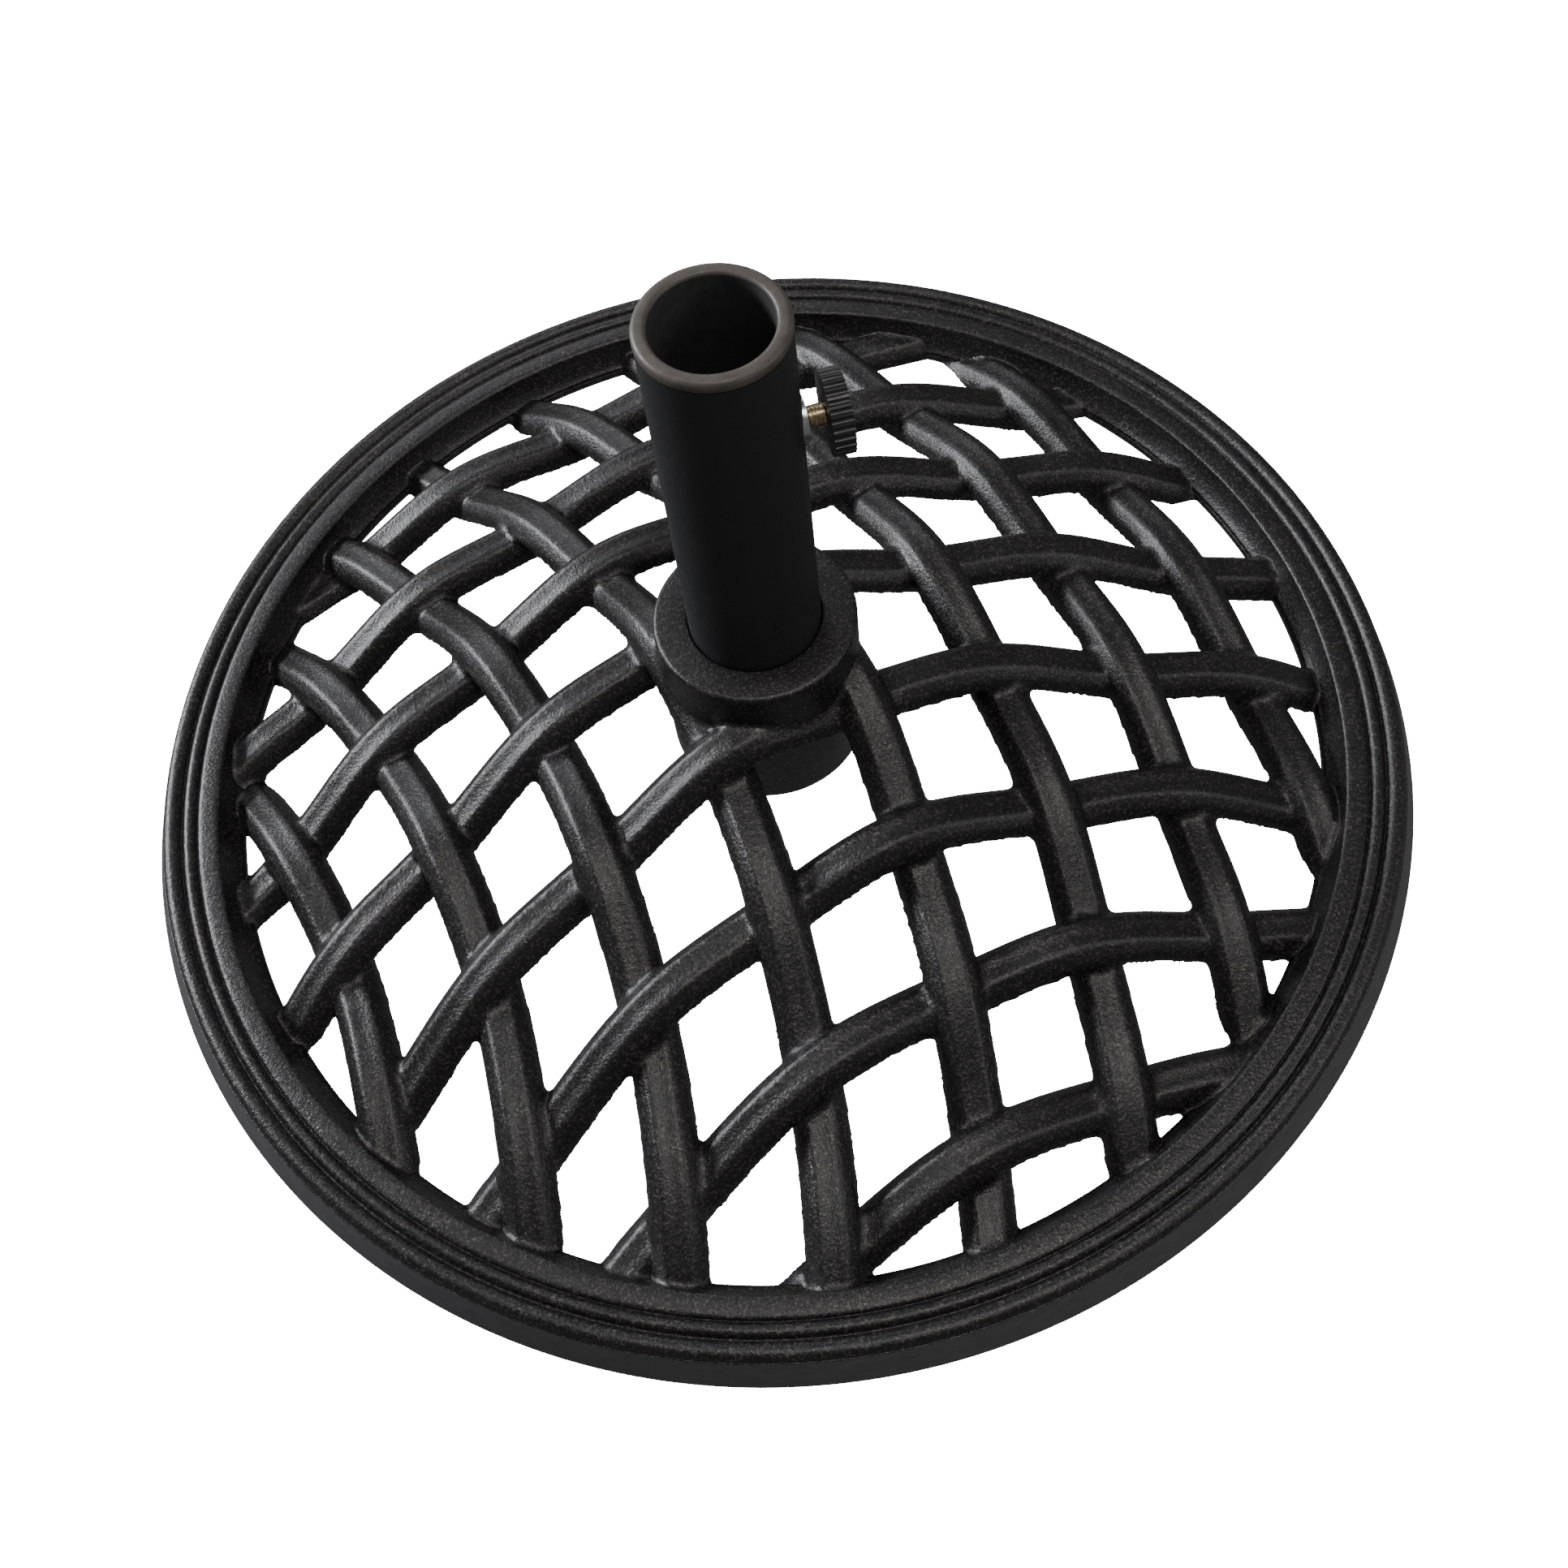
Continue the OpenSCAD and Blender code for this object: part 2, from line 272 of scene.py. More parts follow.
def clean(made, merge=1e-6):
    """Merges doubled points, drops flat faces and turns all normals outwards."""
    work = bmesh.new()
    work.from_mesh(made.data)
    bmesh.ops.remove_doubles(work, verts=work.verts, dist=merge)
    bmesh.ops.dissolve_degenerate(work, edges=work.edges, dist=merge)
    bmesh.ops.recalc_face_normals(work, faces=work.faces)
    work.to_mesh(made.data)
    work.free()
    shade_smooth(made.data)
    made.data.update()


def tube_faces(rows, columns):
    """Faces of a skin of rings, one ring after another, open at both ends."""
    return [
        (
            i * columns + j,
            i * columns + (j + 1) % columns,
            (i + 1) * columns + (j + 1) % columns,
            (i + 1) * columns + j,
        )
        for i in range(rows - 1)
        for j in range(columns)
    ]


def join(name, parts):
    """One object out of several. Their materials are kept."""
    target = parts[0]
    with bpy.context.temp_override(
        active_object=target, object=target, selected_objects=parts, selected_editable_objects=parts
    ):
        bpy.ops.object.join()
    target.name = name
    target.data.name = name
    return target


def apply_modifiers(made):
    """Replaces the object's mesh with its evaluated one."""
    graph = bpy.context.evaluated_depsgraph_get()
    mesh = bpy.data.meshes.new_from_object(made.evaluated_get(graph))
    old = made.data
    made.modifiers.clear()
    made.data = mesh
    bpy.data.meshes.remove(old)


def cut(made, tool):
    """Takes the tool's solid out of the object."""
    step = made.modifiers.new("cut", "BOOLEAN")
    step.operation = "DIFFERENCE"
    step.solver = "EXACT"
    step.object = tool
    apply_modifiers(made)
    bpy.data.objects.remove(tool)


# ---------------------------------------------------------------- weave


def strip_offset(family, k):
    """Distance of strip k of a family from the hub's axis."""
    return WEAVE_SHIFT[family] + STRIP_PITCH * k - PITCH_LOSS * k * abs(k)


def strip_number(family, distance):
    """The number, with fractions, of the family's strip at a distance from the hub's axis."""
    s = distance - WEAVE_SHIFT[family]
    a = np.abs(s)
    return np.sign(s) * (STRIP_PITCH - np.sqrt(STRIP_PITCH**2 - 4 * PITCH_LOSS * a)) / (2 * PITCH_LOSS)


def family_dir(family):
    """The direction, in radians, in which a family's arcs have their centre."""
    return math.radians(WEAVE_AXIS + (-45 if family == 0 else 45))


def family_centre(family):
    """The centre of a family's arcs."""
    a = family_dir(family)
    return STRIP_BOW_R * np.array([math.cos(a), math.sin(a)])


def dome_z(r):
    """The dome's height at a radius, before the weave's rise and fall."""
    run = RIM_WALL_R - DOME_RUN_TRIM - HUB_R
    t = np.maximum(r - HUB_R, 0) / run
    return DOME_EDGE + (DOME_TOP - DOME_EDGE) * (1 - t**DOME_POWER)


def strip_section():
    """Outline of a strip: flat foot, drafted flanks, and a crown with a ridge along each edge."""
    right = [
        (STRIP_W_FOOT / 2, -STRIP_D, 0),
        (STRIP_W_TOP / 2, -STRIP_CROWN_H, STRIP_FLANK_ROUND),
        (STRIP_RIDGE_X, 0.0, STRIP_RIDGE_ROUND),
        (0.0, -STRIP_DIP, STRIP_DIP_ROUND),
    ]
    left = [(-x, z, r) for x, z, r in reversed(right[:-1])]
    return np.array(rounded(right + left))


def strip(family, k):
    """One strip of the weave as a closed sweep: points and faces."""
    section = strip_section()
    radius = STRIP_BOW_R + strip_offset(family, k)
    half = math.acos(
        (STRIP_BOW_R**2 + radius**2 - STRIP_END_R**2) / (2 * STRIP_BOW_R * radius)
    )
    steps = 2 * math.ceil(half * radius / STRIP_STEP)
    a = family_dir(family) + math.pi + np.linspace(-half, half, steps + 1)
    normal = np.stack([np.cos(a), np.sin(a)], -1)
    middle = family_centre(family) + radius * normal
    from_other = np.linalg.norm(middle - family_centre(1 - family), axis=1) - STRIP_BOW_R
    other = strip_number(1 - family, from_other)
    side = -1 if family == 0 else 1
    top = dome_z(np.linalg.norm(middle, axis=1)) + side * WEAVE_H * np.cos(np.pi * (k - other))
    plan = middle[:, None, :] + section[None, :, 0, None] * normal[:, None, :]
    z = top[:, None] + section[None, :, 1]
    # Where a strip runs into the floor it keeps a small share of its depth
    lift = (section[:, 1] + STRIP_D) * STRIP_SQUASH
    z = np.maximum(z, STRIP_FLOOR + lift[None, :])
    points = np.concatenate([plan, z[..., None]], -1).reshape(-1, 3)
    m = len(section)
    faces = tube_faces(steps + 1, m)
    faces.append(tuple(reversed(range(m))))
    faces.append(tuple(range(steps * m, steps * m + m)))
    return points, faces


def rim_outline():
    """Closed outline of the rim, from the ledge's edge round the outside."""
    ledge = RIM_Z + LEDGE_T
    top = RIM_Z + SIDE_H
    groove = top + GROOVE_RISE
    edge_r = RIM_R - EDGE_ROUND
    side_r = RIM_R - SIDE_DRAFT
    bead_x = side_r - GROOVE_R - BEAD_R
    small_x = bead_x - BEAD_R - GROOVE_R - BEAD_SMALL_R
    band_r = small_x - BEAD_SMALL_R - GROOVE_R
    band_mid = (band_r + RIM_WALL_R) / 2
    band_half = (band_r - RIM_WALL_R) / 2
    outline = [(LEDGE_R + 0.8, RIM_Z), (edge_r, RIM_Z)]
    outline += arc(edge_r, RIM_Z + EDGE_ROUND, EDGE_ROUND, -90, 15, 5)
    outline += arc(side_r - SHOULDER_ROUND, top - SHOULDER_ROUND, SHOULDER_ROUND, 15, 80, 4)
    outline += [(side_r - 1.3, top - 0.3)]
    outline += arc(bead_x, top, BEAD_R, 10, 165, 14)
    outline += [(bead_x - BEAD_R - GROOVE_R * 0.5, groove)]
    outline += arc(small_x, top + BEAD_SMALL_RISE, BEAD_SMALL_R, 15, 165, 12)
    outline += [(band_r + GROOVE_R * 0.5, groove)]
    for a in np.linspace(0, 180, 17):
        c, s = math.cos(math.radians(a)), math.sin(math.radians(a))
        across = math.copysign(abs(c) ** 0.6, c) * band_half
        outline.append((band_mid + across, groove + BAND_CROWN * abs(s) ** 0.7))
    outline += [(RIM_WALL_R - 0.2, top - 1.0)]
    outline += [(WALL_FOOT_R + 1.2, ledge + 2.4), (WALL_FOOT_R - 0.4, ledge + 0.6)]
    outline += [(WALL_FOOT_R - 1.6, ledge)]
    outline += arc(LEDGE_R + EDGE_ROUND, ledge - EDGE_ROUND, EDGE_ROUND, 90, 180, 5)
    outline += [(LEDGE_R, RIM_Z + 0.8)]
    return outline


def hub_outline():
    """Closed outline of the hub with its socket, bolt hole and recess."""
    return rounded(
        [
            (BOLT_HOLE_R, WEB_Z, 0.4),
            (RECESS_R, WEB_Z, 1.0),
            (RECESS_R, HUB_BOTTOM, 0.8),
            (HUB_R, HUB_BOTTOM, 1.5),
            (HUB_R, HUB_TOP, 1.8),
            (SOCKET_R, HUB_TOP, 0.8),
            (SOCKET_R, SOCKET_Z, 0.5),
            (BOLT_HOLE_R, SOCKET_Z, 0.4),
        ]
    )


class Skin:
    """A mesh of quads whose points are moved by averaging each with its neighbours."""

    def __init__(self, mesh):
        self.mesh = mesh
        self.count = len(mesh.vertices)
        self.points = np.zeros(self.count * 3)
        mesh.vertices.foreach_get("co", self.points)
        self.points = self.points.reshape(-1, 3)
        edges = np.zeros(len(mesh.edges) * 2, int)
        mesh.edges.foreach_get("vertices", edges)
        edges = edges.reshape(-1, 2)
        self.starts = np.concatenate([edges[:, 0], edges[:, 1]])
        self.ends = np.concatenate([edges[:, 1], edges[:, 0]])
        self.degree = np.bincount(self.starts, minlength=self.count).astype(float)
        quads = np.zeros(len(mesh.polygons) * 4, int)
        mesh.polygons.foreach_get("vertices", quads)
        self.quads = quads.reshape(-1, 4)

    def moves(self):
        """From each point to the average of its neighbours."""
        total = [np.bincount(self.starts, self.points[self.ends, i], self.count) for i in range(3)]
        return np.stack(total, -1) / self.degree[:, None] - self.points

    def normals(self):
        """Each point's outward direction."""
        a, b, c, d = (self.points[self.quads[:, i]] for i in range(4))
        face = np.cross(c - a, d - b)
        total = np.zeros_like(self.points)
        for i in range(4):
            for axis in range(3):
                total[:, axis] += np.bincount(self.quads[:, i], face[:, axis], self.count)
        return total / np.maximum(np.linalg.norm(total, axis=1), 1e-12)[:, None]

    def soften(self, share):
        """Evens out the surface."""
        self.points = self.points + share * self.moves()

    def fill_corners(self, share):
        """Moves points outwards only, so that inner corners turn into fillets."""
        normals = self.normals()
        out = np.maximum((self.moves() * normals).sum(1), 0)
        self.points = self.points + share * out[:, None] * normals

    def store(self):
        """Writes the points back."""
        self.mesh.vertices.foreach_set("co", self.points.ravel())
        self.mesh.update()


def blend_casting(mesh):
    """Rounds the corners between strips, rim and hub as a casting's fillets do."""
    skin = Skin(mesh)
    for _ in range(SKIN_PASSES):
        skin.soften(SKIN_SHARE)
    for _ in range(FILLET_PASSES):
        skin.fill_corners(FILLET_SHARE)
    skin.soften(LAST_SHARE)
    skin.store()


def ring_core():
    """A plain ring under the rim's mouldings, for the strips to grow out of."""
    outer = RIM_R - 8.0
    inner = LEDGE_R + CORE_INSET
    top = RIM_Z + SIDE_H
    ledge = RIM_Z + LEDGE_T - CORE_INSET
    ring = [
        (inner, RIM_Z + CORE_INSET),
        (outer, RIM_Z + CORE_INSET),
        (outer, top - 0.5),
        (RIM_WALL_R + 1.5, top + 1.5),
        (RIM_WALL_R + CORE_INSET, top - 1.2),
        (WALL_FOOT_R + CORE_INSET, ledge),
        (inner, ledge),
    ]
    return lathe("ring_core", ring)


def hub_core():
    """A plain solid inside the hub, for the strips to grow out of."""
    outer, inner = HUB_R - CORE_INSET, RECESS_R + 3.0
    web, foot, head = SOCKET_Z - 5, HUB_BOTTOM + 2, HUB_TOP - 3
    core = [(0, web), (inner, web), (inner, foot), (outer, foot), (outer, head), (0, head)]
    return lathe("hub_core", core)


def hub_bore():
    """What the tube's socket takes out of the skin, a little wider than the socket."""
    radius, low, high = SOCKET_R + 0.4, SOCKET_Z + 0.3, HUB_TOP + 9
    return lathe("bore", [(0, low), (radius, low), (radius, high), (0, high)], steps=96)


def make_weave(material):
    """The dome of strips with what they grow out of, as one skin with fillets."""
    parts = []
    for family in (0, 1):
        for index in range(STRIP_COUNT):
            points, faces = strip(family, index - STRIP_LAST)
            parts.append(new_object(f"strip_{family}_{index}", points, faces))
    weave = join("weave", parts + [ring_core(), hub_core()])
    remesh = weave.modifiers.new("skin", "REMESH")
    remesh.mode = "VOXEL"
    remesh.voxel_size = mm(SKIN_VOXEL)
    apply_modifiers(weave)
    blend_casting(weave.data)
    weave.data.materials.clear()
    weave.data.materials.append(material)
    cut(weave, hub_bore())
    shade_smooth(weave.data)
    return weave


def paint_side(rim, material):
    """Gives the rim's side band its own material."""
    rim.data.materials.append(material)
    low, high = mm(RIM_Z + 0.5), mm(RIM_Z + SIDE_H - 0.2)
    inner_r = mm(RIM_R - SIDE_DRAFT - 1.2)
    for face in rim.data.polygons:
        c = face.center
        if low < c.z < high and math.hypot(c.x, c.y) > inner_r:
            face.material_index = 1


def make_casting(material, band_material):
    """The rim, hub and weave as one piece."""
    rim = lathe("rim", rim_outline(), material, RIM_AROUND)
    paint_side(rim, band_material)
    hub = lathe("hub", hub_outline(), material)
    casting = join("casting", [rim, hub, make_weave(material)])
    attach(casting, "stand")
    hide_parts("base_casting")


# ---------------------------------------------------------------- sleeve and stud


def slot_tool():
    """The slot that passes the thumbscrew: round at its upper end, open below the sleeve."""
    half = SLOT_W / 2
    low = SLEEVE_LOW[2] - SLOT_REACH
    side = arc(0.0, SCREW_Z, half, 0, 180, 24) + [(-half, low), (half, low)]
    points = [(x, y, z) for x in (SLOT_REACH, SLEEVE_R + SLOT_REACH) for y, z in side]
    n = len(side)
    faces = tube_faces(2, n)
    faces += [tuple(reversed(range(n))), tuple(range(n, 2 * n))]
    tool = new_object("slot", points, faces)
    clean(tool)
    return tool


def make_sleeve(material, bore_shade_material):
    """The sleeve with its rounded lip, the slot and a bore darkened with painted shade."""
    shoulder = TUBE_HIGH[2] + LIP_GAP
    outline = rounded(
        [
            (SLEEVE_BORE_R, SLEEVE_LOW[2], 0.5),
            (SLEEVE_R, SLEEVE_LOW[2], 0.5),
            (SLEEVE_R, shoulder, 0.0),
            (LIP_R, shoulder, 0.6),
            (LIP_R, SLEEVE_HIGH[2], 1.9),
            (SLEEVE_BORE_R, SLEEVE_HIGH[2], 1.5),
        ],
        steps=6,
    )
    sleeve = lathe("sleeve", outline, material, SLEEVE_AROUND)
    cut(sleeve, slot_tool())
    clean(sleeve, SLEEVE_MERGE)
    # The bore's faces take the darker material, which is painted shade where the sleeve's inside lies in
    # shade
    sleeve.data.materials.append(bore_shade_material)
    for face in sleeve.data.polygons:
        c = face.center
        if math.hypot(c.x, c.y) < mm(SLEEVE_BORE_R + 0.1) and c.z < mm(SLEEVE_HIGH[2] - 1.0):
            face.material_index = 1
    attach(sleeve, "sleeve")
    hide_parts("pole_sleeve")


def make_stud(material):
    """The thumbscrew's stud: a thread along its outside, and the pad's bore in its inner end."""
    inner, outer = STUD_LOW[0], STUD_HIGH[0]
    bore_end = inner + SPIGOT_BORE_L
    chamfer_r = SCREW_R - STUD_CHAMFER
    threads = np.arange(inner + THREAD_START, outer - STUD_CHAMFER, THREAD_PITCH / STEPS_PER_THREAD)
    # Each ring is its place along the axis, its radius and its thread's depth
    rings = [(bore_end, 0.0, 0.0), (bore_end, SPIGOT_BORE_R, 0.0), (inner, SPIGOT_BORE_R, 0.0)]
    rings += [(inner, SCREW_R - STUD_NOSE, 0.0), (inner + STUD_CHAMFER, chamfer_r, 0.0)]
    rings += [(x, SCREW_R - THREAD_PLAY, THREAD_DEPTH) for x in threads]
    rings += [(outer, chamfer_r, 0.0), (outer, 0.0, 0.0)]
    turn = np.arange(STUD_AROUND) / STUD_AROUND
    across, along = np.cos(2 * math.pi * turn), np.sin(2 * math.pi * turn)
    points = []
    for x, r, depth in rings:
        phase = (x / THREAD_PITCH - turn) % 1.0
        radii = r - depth * np.abs(2.0 * phase - 1.0)
        points += [(x, y, z) for y, z in zip(radii * across, SCREW_Z + radii * along)]
    stud = new_object("stud", points, tube_faces(len(rings), STUD_AROUND), material)
    clean(stud)
    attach(stud, "thumbscrew")
    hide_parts("thumbscrew_stud")


# ---------------------------------------------------------------- materials


class Paint:
    """A material's node tree with short calls for what the materials here share."""

    def __init__(self, name, color, roughness, metallic=0.0):
        self.material = bpy.data.materials.new(name)
        self.material.use_nodes = True
        self.tree = self.material.node_tree
        self.shader = self.tree.nodes["Principled BSDF"]
        self.shader.inputs["Base Color"].default_value = (*color, 1)
        self.shader.inputs["Roughness"].default_value = roughness
        self.shader.inputs["Metallic"].default_value = metallic
        self.place = self.tree.nodes.new("ShaderNodeTexCoord").outputs["Object"]
        self.normal = None

    def node(self, kind, **values):
        """A new node with its properties."""
        made = self.tree.nodes.new(kind)
        for key, value in values.items():
            setattr(made, key, value)
        return made

    def link(self, a, b):
        """Joins an output to an input."""
        self.tree.links.new(a, b)

    def noise(self, size, detail=2.0, roughness=0.5, stretch=(1, 1, 1)):
        """Noise with features about size millimetres across."""
        made = self.node("ShaderNodeTexNoise")
        made.inputs["Scale"].default_value = 1.0 / mm(size)
        made.inputs["Detail"].default_value = detail
        made.inputs["Roughness"].default_value = roughness
        source = self.place
        if stretch != (1, 1, 1):
            mapping = self.node("ShaderNodeMapping")
            mapping.inputs["Scale"].default_value = stretch
            self.link(self.place, mapping.inputs["Vector"])
            source = mapping.outputs["Vector"]
        self.link(source, made.inputs["Vector"])
        return made.outputs["Fac"]

    def clouds(self, size, detail=2.0, roughness=0.5, out_low=0.0, out_high=1.0, stretch=(1, 1, 1)):
        """Noise spread over out_low..out_high, with flat lowest and highest parts."""
        return self.span(self.noise(size, detail, roughness, stretch), 0.3, 0.7, out_low, out_high)

    def span(self, source, low, high, out_low=0.0, out_high=1.0):
        """Maps source from low..high to out_low..out_high."""
        made = self.node("ShaderNodeMapRange")
        for key, value in zip(("From Min", "From Max", "To Min", "To Max"), (low, high, out_low, out_high)):
            made.inputs[key].default_value = value
        self.link(source, made.inputs["Value"])
        return made.outputs["Result"]

    def color_mix(self, amount, first, second):
        """A colour between first and second; either may be an output or a colour."""
        made = self.node("ShaderNodeMix", data_type="RGBA")
        self.link(amount, made.inputs["Factor"])
        for key, value in (("A", first), ("B", second)):
            socket = [s for s in made.inputs if s.name == key and s.type == "RGBA"][0]
            if isinstance(value, tuple):
                socket.default_value = (*value, 1)
            else:
                self.link(value, socket)
        return [s for s in made.outputs if s.type == "RGBA"][0]

    def bump(self, height, depth, strength=1.0):
        """Adds relief of depth millimetres on top of any already there."""
        made = self.node("ShaderNodeBump")
        made.inputs["Strength"].default_value = strength
        made.inputs["Distance"].default_value = mm(depth)
        self.link(height, made.inputs["Height"])
        if self.normal is not None:
            self.link(self.normal, made.inputs["Normal"])
        self.normal = made.outputs["Normal"]
        self.link(self.normal, self.shader.inputs["Normal"])

    def set(self, socket, output):
        """Drives one of the shader's sockets."""
        self.link(output, self.shader.inputs[socket])


def cast_paint():
    """Black powder coat over rough cast iron, with metallic bronze flecks."""
    p = Paint("cast_black", (0.005, 0.005, 0.005), 0.4)
    speckle = p.span(p.noise(1.2, 3, 0.7), 0.54, 0.64)
    patch = p.clouds(12, 3, 0.6, 0.35, 1.0)
    fleck = p.node("ShaderNodeMath", operation="MULTIPLY")
    p.link(speckle, fleck.inputs[0])
    p.link(patch, fleck.inputs[1])
    tone = p.color_mix(p.clouds(30), (0.0042, 0.0045, 0.0051), (0.0075, 0.0076, 0.008))
    p.set("Base Color", p.color_mix(fleck.outputs[0], tone, (0.12, 0.109, 0.095)))
    p.set("Metallic", p.span(fleck.outputs[0], 0.0, 1.0, 0.0, 0.75))
    p.set("Roughness", p.clouds(2.2, 3, 0.6, 0.28, 0.42))
    p.bump(p.noise(1.2, 3, 0.7), 0.3)
    p.bump(p.noise(7), 0.5, 0.4)
    return p.material


def band_paint():
    """The rim's side: the same coat on a ground surface, smoother and greyer."""
    p = Paint("band_black", (0.04, 0.041, 0.043), 0.45)
    tone = p.clouds(9, 3, 0.6, stretch=(1, 1, 3))
    p.set("Base Color", p.color_mix(tone, (0.05, 0.051, 0.054), (0.068, 0.069, 0.073)))
    p.set("Roughness", p.clouds(3, 3, 0.6, 0.4, 0.5))
    p.bump(p.noise(0.8, 2, 0.6), 0.05, 0.6)
    return p.material


def tube_paint():
    """Matt black powder coat with a faint orange peel."""
    p = Paint("tube_black", (0.0105, 0.0112, 0.0122), 0.55)
    p.set("Roughness", p.clouds(6, 3, 0.6, 0.48, 0.62))
    p.bump(p.noise(0.9), 0.06, 0.6)
    return p.material


def sleeve_paint():
    """Taupe moulded plastic with a slight mottle."""
    p = Paint("sleeve_taupe", (0.07, 0.062, 0.054), 0.5)
    p.set("Base Color", p.color_mix(p.clouds(5, 3, 0.6), (0.06, 0.052, 0.045), (0.088, 0.078, 0.069)))
    p.set("Roughness", p.clouds(2, out_low=0.42, out_high=0.58))
    p.bump(p.noise(0.5, 2, 0.6), 0.03, 0.6)
    return p.material


def bore_painted_shade():
    """The sleeve's inside, painted nearly black against the taupe lip: painted shade for the shade down in
    the bore.
    """
    p = Paint("sleeve_bore", (0.012, 0.012, 0.012), 0.6)
    p.set("Base Color", p.color_mix(p.clouds(4, 3, 0.6), (0.028, 0.028, 0.028), (0.042, 0.041, 0.04)))
    p.bump(p.noise(1.0, 2, 0.6), 0.04, 0.6)
    return p.material


def metal_paint(name, dark, light, roughness):
    """Plated steel with fine scratches and cloudy roughness."""
    p = Paint(name, light, roughness, 1.0)
    p.set("Base Color", p.color_mix(p.clouds(3, 3, 0.6), dark, light))
    p.set("Roughness", p.clouds(1.5, 3, 0.6, roughness - 0.08, roughness + 0.12))
    p.bump(p.noise(0.4, 2, 0.6, stretch=(1, 1, 6)), 0.01, 0.5)
    return p.material


def moulded_paint(name, dark, light, roughness, grain=0.6):
    """Moulded plastic or rubber with a fine grain."""
    p = Paint(name, light, roughness)
    p.set("Base Color", p.color_mix(p.clouds(4, 3, 0.6), dark, light))
    p.set("Roughness", p.clouds(1.5, 3, 0.6, roughness - 0.06, roughness + 0.1))
    p.bump(p.noise(grain, 2, 0.6), 0.03, 0.6)
    return p.material


CAST = cast_paint()
BAND = band_paint()
TUBE = tube_paint()
SLEEVE = sleeve_paint()
# Painted shade: the darker colour for the sleeve's bore
SLEEVE_BORE_SHADE = bore_painted_shade()
ZINC = metal_paint("zinc", (0.42, 0.42, 0.44), (0.62, 0.62, 0.64), 0.3)
YELLOW_ZINC = metal_paint("yellow_zinc", (0.55, 0.46, 0.28), (0.8, 0.72, 0.52), 0.28)
STEEL = metal_paint("turned_steel", (0.3, 0.3, 0.31), (0.45, 0.45, 0.46), 0.35)
KNOB = moulded_paint("knob_black", (0.012, 0.012, 0.013), (0.022, 0.022, 0.023), 0.42)
NYLON = moulded_paint("nylon", (0.68, 0.66, 0.6), (0.8, 0.78, 0.72), 0.4)
RUBBER = moulded_paint("rubber", (0.012, 0.012, 0.012), (0.025, 0.025, 0.025), 0.7, 0.4)

# CAD nodes that are shown as they are: material, and the width of their softened edges
FINISHES = {
    "pole_tube": (TUBE, 0.3),
    "tube_end_plug": (STEEL, 0.3),
    "clamp_bolt": (ZINC, 0.4),
    "clamp_lock_washer": (ZINC, 0.2),
    "clamp_washer": (ZINC, 0.2),
    "rivet_nut": (ZINC, 0.2),
    "thumbscrew_knob": (KNOB, 0.5),
    "thumbscrew_tip": (NYLON, 0.3),
}
FINISHES.update({f"rubber_foot_{i}": (RUBBER, 0.6) for i in range(1, 7)})


def finish_node(made, material, bevel):
    """Gives a CAD node its material and softened edges."""
    made.data.materials.clear()
    made.data.materials.append(material)
    soft = made.modifiers.new("soft_edges", "BEVEL")
    soft.width = mm(bevel)
    soft.segments = 3
    soft.limit_method = "ANGLE"
    soft.angle_limit = math.radians(40)
    soft.harden_normals = False


def finish_cad_nodes():
    """Finishes every CAD node in FINISHES; a missing one stops the script."""
    shown = {o.get("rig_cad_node"): o for o in bpy.context.scene.objects}
    for name, (material, bevel) in FINISHES.items():
        finish_node(shown[name], material, bevel)


make_casting(CAST, BAND)
make_sleeve(SLEEVE, SLEEVE_BORE_SHADE)
make_stud(YELLOW_ZINC)
finish_cad_nodes()


# ---------------------------------------------------------------- stage


FLOOR_HALF = 40000
FLOOR_GLOW = 20.0
WORLD_GLOW = 0.16


def make_floor():
    """A plain white floor that only the camera sees as lit; it throws no light on the object."""
    corners = [(x * FLOOR_HALF, y * FLOOR_HALF, 0) for x, y in ((-1, -1), (1, -1), (1, 1), (-1, 1))]
    floor = new_object("floor", corners, [(0, 1, 2, 3)])
    p = Paint("floor_white", (0.9, 0.9, 0.9), 0.9)
    p.set("Base Color", p.color_mix(p.clouds(60), (0.88, 0.88, 0.88), (0.91, 0.91, 0.91)))
    p.shader.inputs["Emission Color"].default_value = (1, 1, 1, 1)
    p.shader.inputs["Emission Strength"].default_value = FLOOR_GLOW
    floor.data.materials.append(p.material)
    floor.visible_glossy = False
    floor.visible_diffuse = False


LIGHT_TARGET = (0, 0, 0.05)
COOL = (0.95, 0.97, 1.0)
WARM = (1.0, 0.98, 0.95)


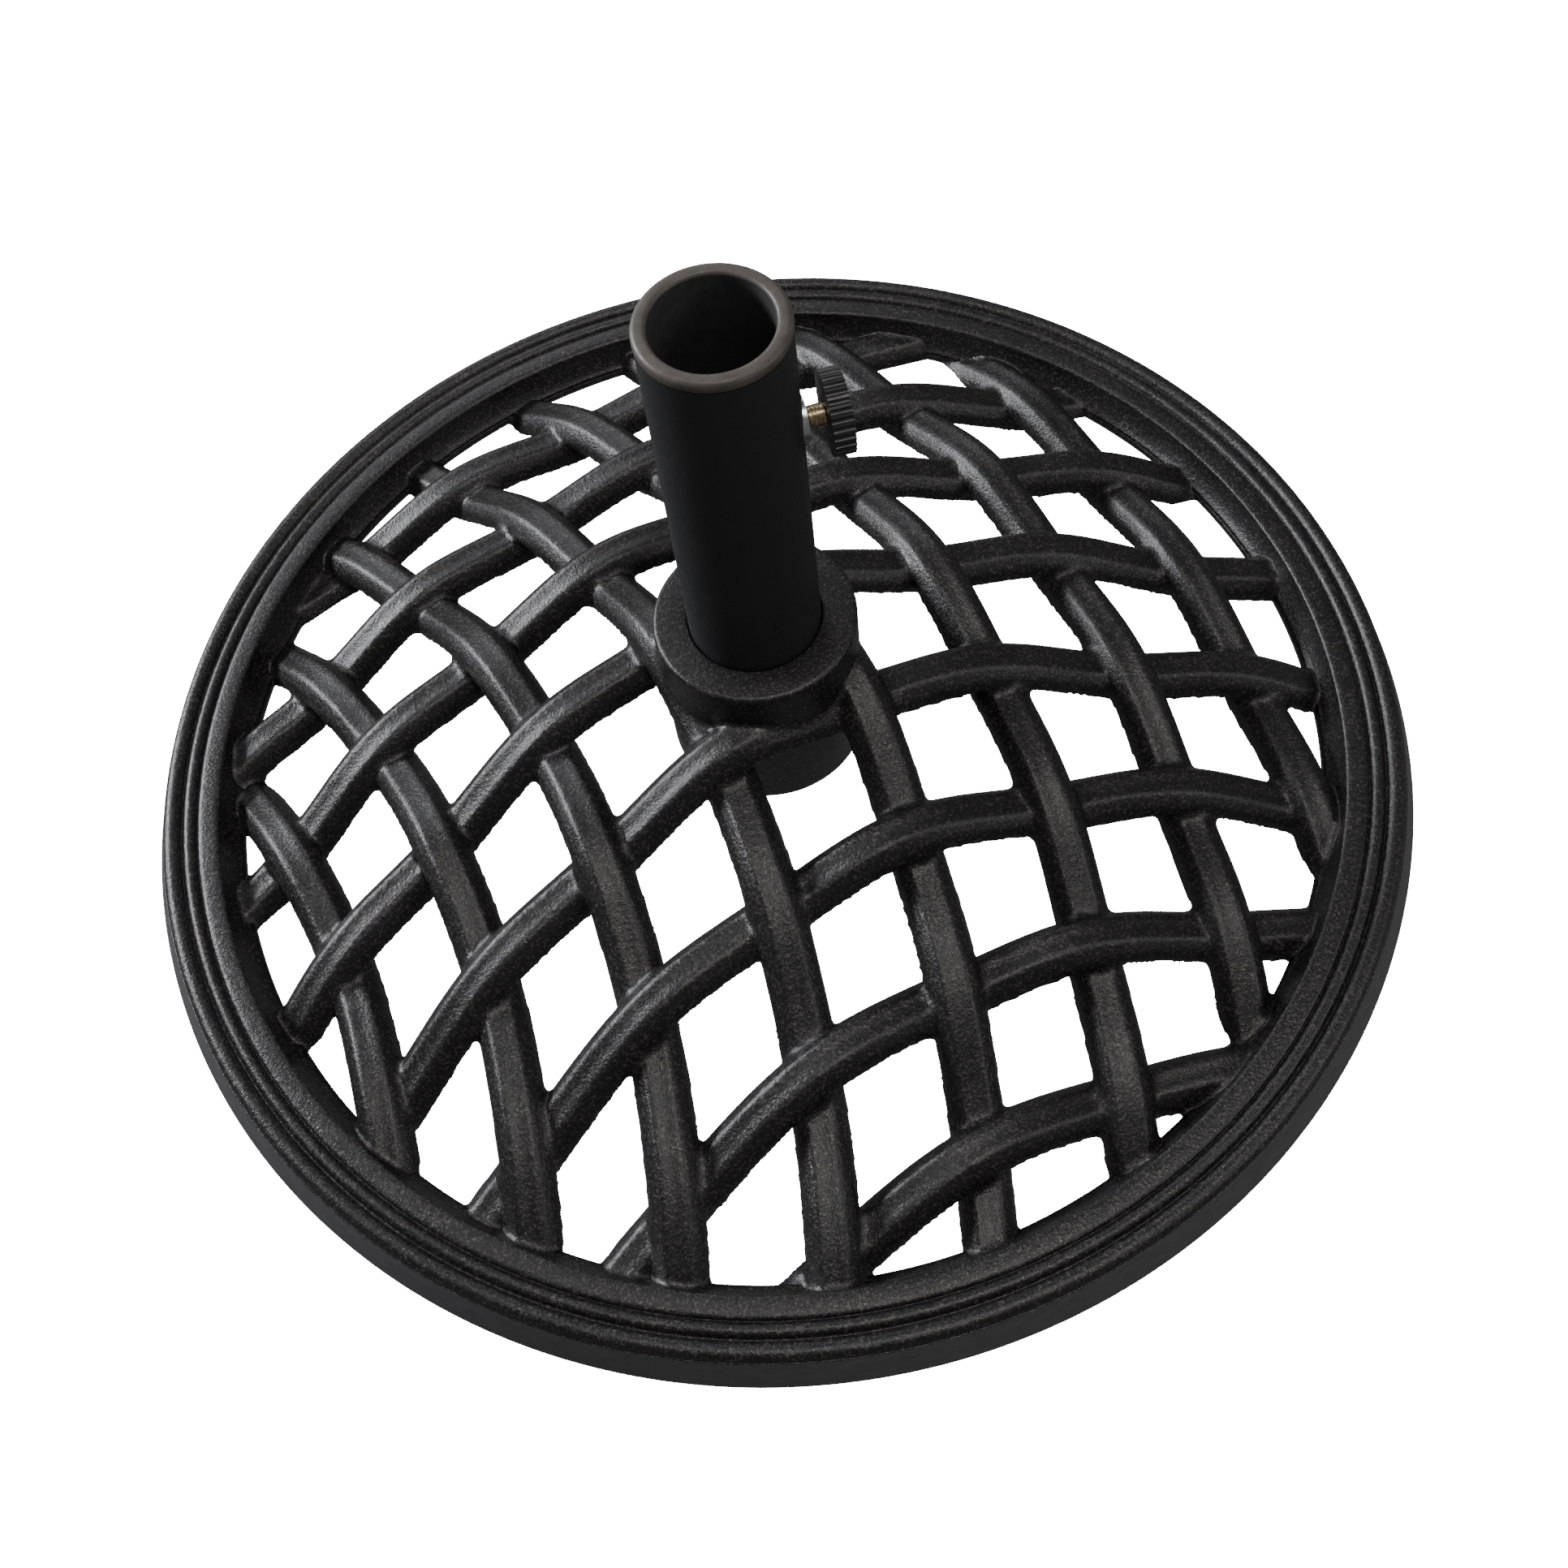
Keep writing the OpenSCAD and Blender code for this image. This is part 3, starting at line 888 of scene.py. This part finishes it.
def area_light(name, azimuth, elevation, distance, size, power, color=(1, 1, 1)):
    """A softbox that faces the object. Azimuth is in degrees from +X towards +Y."""
    data = bpy.data.lights.new(name, "AREA")
    data.shape = "RECTANGLE"
    data.size, data.size_y = size
    data.energy = power
    data.color = color
    light = bpy.data.objects.new(name, data)
    a, e = math.radians(azimuth), math.radians(elevation)
    away = Vector((math.cos(a) * math.cos(e), math.sin(a) * math.cos(e), math.sin(e)))
    light.location = away * distance + Vector(LIGHT_TARGET)
    light.rotation_mode = "QUATERNION"
    light.rotation_quaternion = away.to_track_quat("Z", "Y")
    bpy.context.scene.collection.objects.link(light)


def make_world():
    """Faint, even light from all round."""
    world = bpy.data.worlds.new("studio")
    world.use_nodes = True
    background = world.node_tree.nodes["Background"]
    background.inputs["Color"].default_value = (1.0, 1.0, 1.0, 1)
    background.inputs["Strength"].default_value = WORLD_GLOW
    bpy.context.scene.world = world


# The camera: degrees for its turn, elevation and roll; metres for its distance, target and
# clipping; millimetres for its lens and sensor
VIEW_TURN = 6.0
VIEW_ELEVATION = 60.25
VIEW_ROLL = -8.27
VIEW_DISTANCE = 0.770
VIEW_TARGET = (0.0002, -0.0143, 0.002)
VIEW_LENS = 44.16
SENSOR_W = 36.0
CLIP = (0.01, 200)


def make_camera():
    """The camera, aimed at VIEW_TARGET."""
    data = bpy.data.cameras.new("camera")
    data.sensor_width = SENSOR_W
    data.lens = VIEW_LENS
    data.clip_start, data.clip_end = CLIP
    camera = bpy.data.objects.new("camera", data)
    a, e, roll = (math.radians(v) for v in (VIEW_TURN, VIEW_ELEVATION, VIEW_ROLL))
    ahead = Vector((math.sin(a) * math.cos(e), math.cos(a) * math.cos(e), -math.sin(e)))
    right = ahead.cross(Vector((0, 0, 1))).normalized()
    up = right.cross(ahead)
    right, up = math.cos(roll) * right + math.sin(roll) * up, -math.sin(roll) * right + math.cos(roll) * up
    turn = Matrix((right, up, -ahead)).transposed()
    camera.rotation_mode = "QUATERNION"
    camera.rotation_quaternion = turn.to_quaternion()
    camera.location = Vector(VIEW_TARGET) - ahead * VIEW_DISTANCE
    bpy.context.scene.collection.objects.link(camera)
    bpy.context.scene.camera = camera


make_floor()
make_world()
make_camera()
area_light("key", 145, 24, 2.0, (0.7, 0.35), power=54, color=COOL)
area_light("fill", -27, 30, 2.4, (0.8, 0.8), power=10)
area_light("front", -70, 78, 2.0, (0.4, 0.6), power=15, color=WARM)
area_light("back", 100, 30, 2.2, (1.0, 0.3), power=8, color=COOL)
